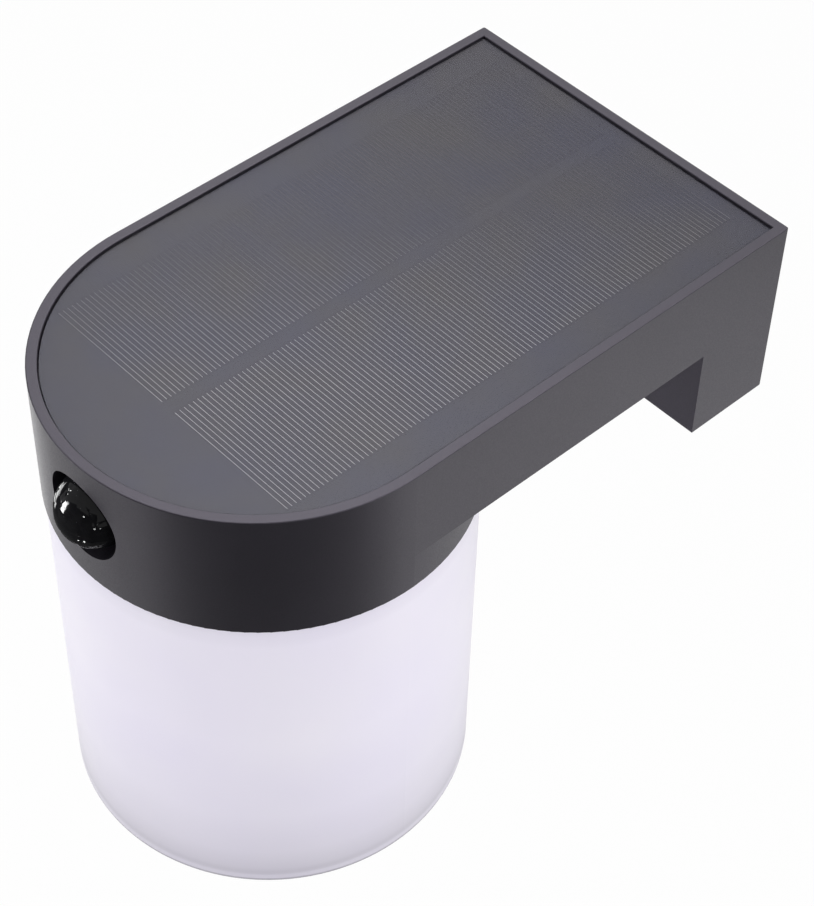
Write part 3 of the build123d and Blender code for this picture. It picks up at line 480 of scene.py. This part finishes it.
def cell_windows():
    """The four corners of each solar cell, seen from above."""
    low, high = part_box("solar_cells")
    pitch = (high.y - low.y + CELL_GAP) / CELL_COUNT
    windows = []
    for side in (-1, 1):
        x0, x1 = sorted((side * COLUMN_GAP / 2, side * high.x))
        for n in range(CELL_COUNT):
            y0 = low.y + n * pitch
            y1 = y0 + pitch - CELL_GAP
            windows.append([(x0, y0), (x1, y0), (x1, y1), (x0, y1)])
    return windows


def sealing_layer(form):
    """The dark layer that seals the cells in, level with their faces, with a window for each cell."""
    low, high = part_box("solar_cells")
    for outline in (film_outline(0), *cell_windows()):
        corners = [form.verts.new((x, y, high.z)) for x, y in outline]
        for n, corner in enumerate(corners):
            form.edges.new((corner, corners[(n + 1) % len(corners)]))
    bmesh.ops.triangle_fill(form, use_beauty=True, edges=form.edges[:])
    sheet = bmesh.ops.extrude_face_region(form, geom=form.faces[:])
    lower = [part for part in sheet["geom"] if isinstance(part, bmesh.types.BMVert)]
    bmesh.ops.translate(form, vec=(0, 0, low.z - high.z), verts=lower)


def film_sheet(form):
    """The clear film as a thin closed sheet with a broken upper edge."""
    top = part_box("panel_film")[1].z
    rows = []
    for inset, level in ((0, top - FILM_SHEET), (0, top - FILM_EDGE), (FILM_EDGE, top)):
        rows.append([form.verts.new((x, y, level)) for x, y in film_outline(inset)])
    for lower, upper in zip(rows, rows[1:]):
        for n in range(len(lower)):
            m = (n + 1) % len(lower)
            form.faces.new((lower[n], lower[m], upper[m], upper[n]))
    form.faces.new(rows[0])
    form.faces.new(rows[-1])


def facet_groove(angle, turn):
    """How deep the grooves between the lens's facets are at a place on its dome."""
    inner = 0.0
    for outer, count in LENS_RINGS:
        if angle <= radians(outer) or outer == LENS_RINGS[-1][0]:
            break
        inner = radians(outer)
    outer = radians(outer)
    gaps = [LENS_RADIUS * (outer - angle)] if outer < pi / 2 else []
    if inner > 0:
        gaps.append(LENS_RADIUS * (angle - inner))
    if count > 1:
        share = (turn * count / (2 * pi)) % 1.0
        gaps.append(min(share, 1 - share) * 2 * pi / count * LENS_RADIUS * sin(angle))
    nearest = min(1.0, max(0.0, min(gaps)) / LENS_GROOVE_REACH) if gaps else 1.0
    return LENS_GROOVE * (1 - nearest) ** 2


def lens_dome(form):
    """The sensor's dome with its facets, its collar and its flange, as one closed shell."""
    low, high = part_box("sensor_lens")
    centre = Vector((0, low.y + LENS_RADIUS, (low.z + high.z) / 2))
    flange_y = centre.y + LENS_COLLAR
    bore = LENS_RADIUS - LENS_SHELL
    flange = LENS_RADIUS + LENS_FLANGE_WIDTH
    collar = [(LENS_RADIUS, flange_y), (flange, flange_y), (flange, high.y), (bore, high.y), (bore, centre.y)]

    def ring(points):
        return [form.verts.new((x, y, z)) for x, y, z in points]

    def spun(radius, y):
        turns = [2 * pi * n / LENS_TURNS for n in range(LENS_TURNS)]
        return ring((centre.x + radius * cos(t), y, centre.z + radius * sin(t)) for t in turns)

    rows = []
    for step in range(1, LENS_STEPS + 1):
        angle = pi / 2 * step / LENS_STEPS
        points = []
        for n in range(LENS_TURNS):
            turn = 2 * pi * n / LENS_TURNS
            radius = LENS_RADIUS - facet_groove(angle, turn)
            points.append((centre.x + radius * sin(angle) * cos(turn), centre.y - radius * cos(angle),
                           centre.z + radius * sin(angle) * sin(turn)))
        rows.append(ring(points))
    rows += [spun(radius, y) for radius, y in collar]
    for step in range(LENS_STEPS - 1, 0, -1):
        angle = pi / 2 * step / LENS_STEPS
        rows.append(spun(bore * sin(angle), centre.y - bore * cos(angle)))
    for first, second in zip(rows, rows[1:]):
        for n in range(LENS_TURNS):
            m = (n + 1) % LENS_TURNS
            form.faces.new((first[n], first[m], second[m], second[n]))
    for row, tip_y in ((rows[0], low.y), (rows[-1], centre.y - bore)):
        tip = form.verts.new((centre.x, tip_y, centre.z))
        for n in range(LENS_TURNS):
            form.faces.new((row[n], row[(n + 1) % LENS_TURNS], tip))


def smooth_by_angle(mesh, degrees):
    """Smooth shading that keeps edges sharper than an angle."""
    mesh.polygons.foreach_set("use_smooth", [True] * len(mesh.polygons))
    mesh.set_sharp_from_angle(angle=radians(degrees))


new_piece("cell_fingers", finger_lines, "light", silver_paste("paste_finish"))
new_piece("cell_seal", sealing_layer, "light", finishes["panel_dark"])
film = new_piece("film_sheet", film_sheet, "light", finishes["panel_film"])
smooth_by_angle(film.data, FILM_SMOOTH_ANGLE)
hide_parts("panel_film")
lens = new_piece("lens_dome", lens_dome, "light", finishes["lens_black"])
smooth_by_angle(lens.data, LENS_SMOOTH_ANGLE)
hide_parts("sensor_lens")


# Stage, world and lights
def stage_plane(name, size, matrix, material):
    """A flat sheet on the stage."""
    mesh = mesh_from(name, lambda form: bmesh.ops.create_grid(form, x_segments=1, y_segments=1, size=0.5))
    plane = bpy.data.objects.new(name, mesh)
    plane.matrix_world = matrix @ Matrix.Diagonal((size[0], size[1], 1.0, 1.0))
    bpy.context.scene.collection.objects.link(plane)
    mesh.materials.append(material)
    return plane


def white_rays(tree):
    """One for the rays that show the white background: camera, glossy and transmission rays."""
    path = tree.nodes.new("ShaderNodeLightPath")
    total = path.outputs["Is Camera Ray"]
    for name in ("Is Glossy Ray", "Is Transmission Ray"):
        highest = tree.nodes.new("ShaderNodeMath")
        highest.operation = "MAXIMUM"
        tree.links.new(total, highest.inputs[0])
        tree.links.new(path.outputs[name], highest.inputs[1])
        total = highest.outputs["Value"]
    return total


def floor_material():
    """A pale floor that shows as white, keeps a soft shadow and is clear from below."""
    material = bpy.data.materials.new("floor_paper")
    material.use_nodes = True
    tree = material.node_tree
    tree.nodes.clear()
    paper = tree.nodes.new("ShaderNodeBsdfDiffuse")
    paper.inputs["Color"].default_value = (FLOOR_TONE, FLOOR_TONE, FLOOR_TONE, 1)
    glow = tree.nodes.new("ShaderNodeEmission")
    shown = tree.nodes.new("ShaderNodeMixShader")
    shown.inputs["Fac"].default_value = FLOOR_GLOW
    tree.links.new(paper.outputs["BSDF"], shown.inputs[1])
    tree.links.new(glow.outputs["Emission"], shown.inputs[2])
    seen = tree.nodes.new("ShaderNodeMixShader")
    tree.links.new(white_rays(tree), seen.inputs["Fac"])
    tree.links.new(paper.outputs["BSDF"], seen.inputs[1])
    tree.links.new(shown.outputs["Shader"], seen.inputs[2])
    clear = tree.nodes.new("ShaderNodeBsdfTransparent")
    sides = tree.nodes.new("ShaderNodeMixShader")
    tree.links.new(tree.nodes.new("ShaderNodeNewGeometry").outputs["Backfacing"], sides.inputs["Fac"])
    tree.links.new(seen.outputs["Shader"], sides.inputs[1])
    tree.links.new(clear.outputs["BSDF"], sides.inputs[2])
    output = tree.nodes.new("ShaderNodeOutputMaterial")
    tree.links.new(sides.outputs["Shader"], output.inputs["Surface"])
    return material


def flag_material():
    """Black studio cloth."""
    material = bpy.data.materials.new("flag_cloth")
    material.use_nodes = True
    shader = material.node_tree.nodes["Principled BSDF"]
    shader.inputs["Base Color"].default_value = (CLOTH_TONE, CLOTH_TONE, CLOTH_TONE, 1)
    shader.inputs["Roughness"].default_value = CLOTH_ROUGHNESS
    shader.inputs["Specular IOR Level"].default_value = 0.0
    return material


def facing(place, target):
    """A matrix at a place whose -Z axis points at a target."""
    turn = (Vector(target) - Vector(place)).to_track_quat("-Z", "Y")
    return Matrix.Translation(place) @ turn.to_matrix().to_4x4()


def soft_box(name, place, target, size, power):
    """A rectangular studio lamp."""
    lamp = bpy.data.lights.new(name, "AREA")
    lamp.shape = "RECTANGLE"
    lamp.size, lamp.size_y = size
    lamp.energy = power
    holder = bpy.data.objects.new(name, lamp)
    holder.matrix_world = facing(place, target)
    bpy.context.scene.collection.objects.link(holder)
    return holder


def white_world(ambient):
    """White where it is seen, and a lower even light on the object."""
    world = bpy.data.worlds.new("studio")
    bpy.context.scene.world = world
    world.use_nodes = True
    tree = world.node_tree
    tree.nodes.clear()
    level = tree.nodes.new("ShaderNodeBackground")
    level.inputs["Strength"].default_value = ambient
    white = tree.nodes.new("ShaderNodeBackground")
    mixed = tree.nodes.new("ShaderNodeMixShader")
    for background in (level, white):
        background.inputs["Color"].default_value = (1, 1, 1, 1)
    tree.links.new(white_rays(tree), mixed.inputs["Fac"])
    tree.links.new(level.outputs["Background"], mixed.inputs[1])
    tree.links.new(white.outputs["Background"], mixed.inputs[2])
    output = tree.nodes.new("ShaderNodeOutputWorld")
    tree.links.new(mixed.outputs["Shader"], output.inputs["Surface"])


def set_camera():
    """The camera at the photographed place, turned by its azimuth, elevation and roll."""
    a, e, roll = radians(CAMERA_AZIMUTH), radians(CAMERA_ELEVATION), radians(CAMERA_ROLL)
    back = Vector((sin(a) * cos(e), -cos(a) * cos(e), sin(e)))
    right = (-back).cross(Vector((0, 0, 1))).normalized()
    up = right.cross(-back)
    rolled_right = cos(roll) * right + sin(roll) * up
    rolled_up = cos(roll) * up - sin(roll) * right
    camera = bpy.data.objects.new("camera", bpy.data.cameras.new("camera"))
    turn = Matrix((rolled_right, rolled_up, back)).transposed().to_4x4()
    camera.matrix_world = Matrix.Translation(CAMERA_PLACE) @ turn
    camera.data.sensor_fit = "VERTICAL"
    camera.data.sensor_height = CAMERA_SENSOR
    camera.data.lens = CAMERA_LENS
    bpy.context.scene.collection.objects.link(camera)
    bpy.context.scene.camera = camera


def dark_card(name, place, size):
    """A black card that only reflections see, for the dark side of the studio."""
    card = stage_plane(name, size, facing(place, AIM), flag_material())
    card.visible_camera = False
    card.visible_diffuse = False
    card.visible_shadow = False


def only_on(lamp, piece):
    """Keeps a lamp's light to one piece."""
    receivers = bpy.data.collections.new(lamp.name + "_on")
    receivers.objects.link(piece)
    lamp.light_linking.receiver_collection = receivers


def not_on(sheet, piece):
    """Keeps a sheet's glow off one piece."""
    receivers = bpy.data.collections.new(sheet.name + "_off")
    receivers.objects.link(piece)
    receivers.collection_objects[0].light_linking.link_state = "EXCLUDE"
    sheet.light_linking.receiver_collection = receivers


bpy.context.scene.view_settings.view_transform = "Standard"
set_camera()
white_world(AMBIENT)
floor_place = Matrix.Translation((0, 0, FLOOR_LEVEL))
not_on(stage_plane("floor", (FLOOR_SIZE, FLOOR_SIZE), floor_place, floor_material()), lens)
for name, place, size in DARK_CARDS:
    dark_card(name, place, size)
for name, place, size, power in STUDIO_LAMPS:
    soft_box(name, place, AIM, size, power)
for name, place, size, power in HOUSING_LAMPS:
    lamp = soft_box(name, place, AIM, size, power)
    lamp.visible_camera = False
    lamp.visible_diffuse = False
    only_on(lamp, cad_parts["housing"])
for name, place, size, power in LENS_LAMPS:
    lamp = soft_box(name, place, LENS_AIM, size, power)
    lamp.visible_camera = False
    only_on(lamp, lens)
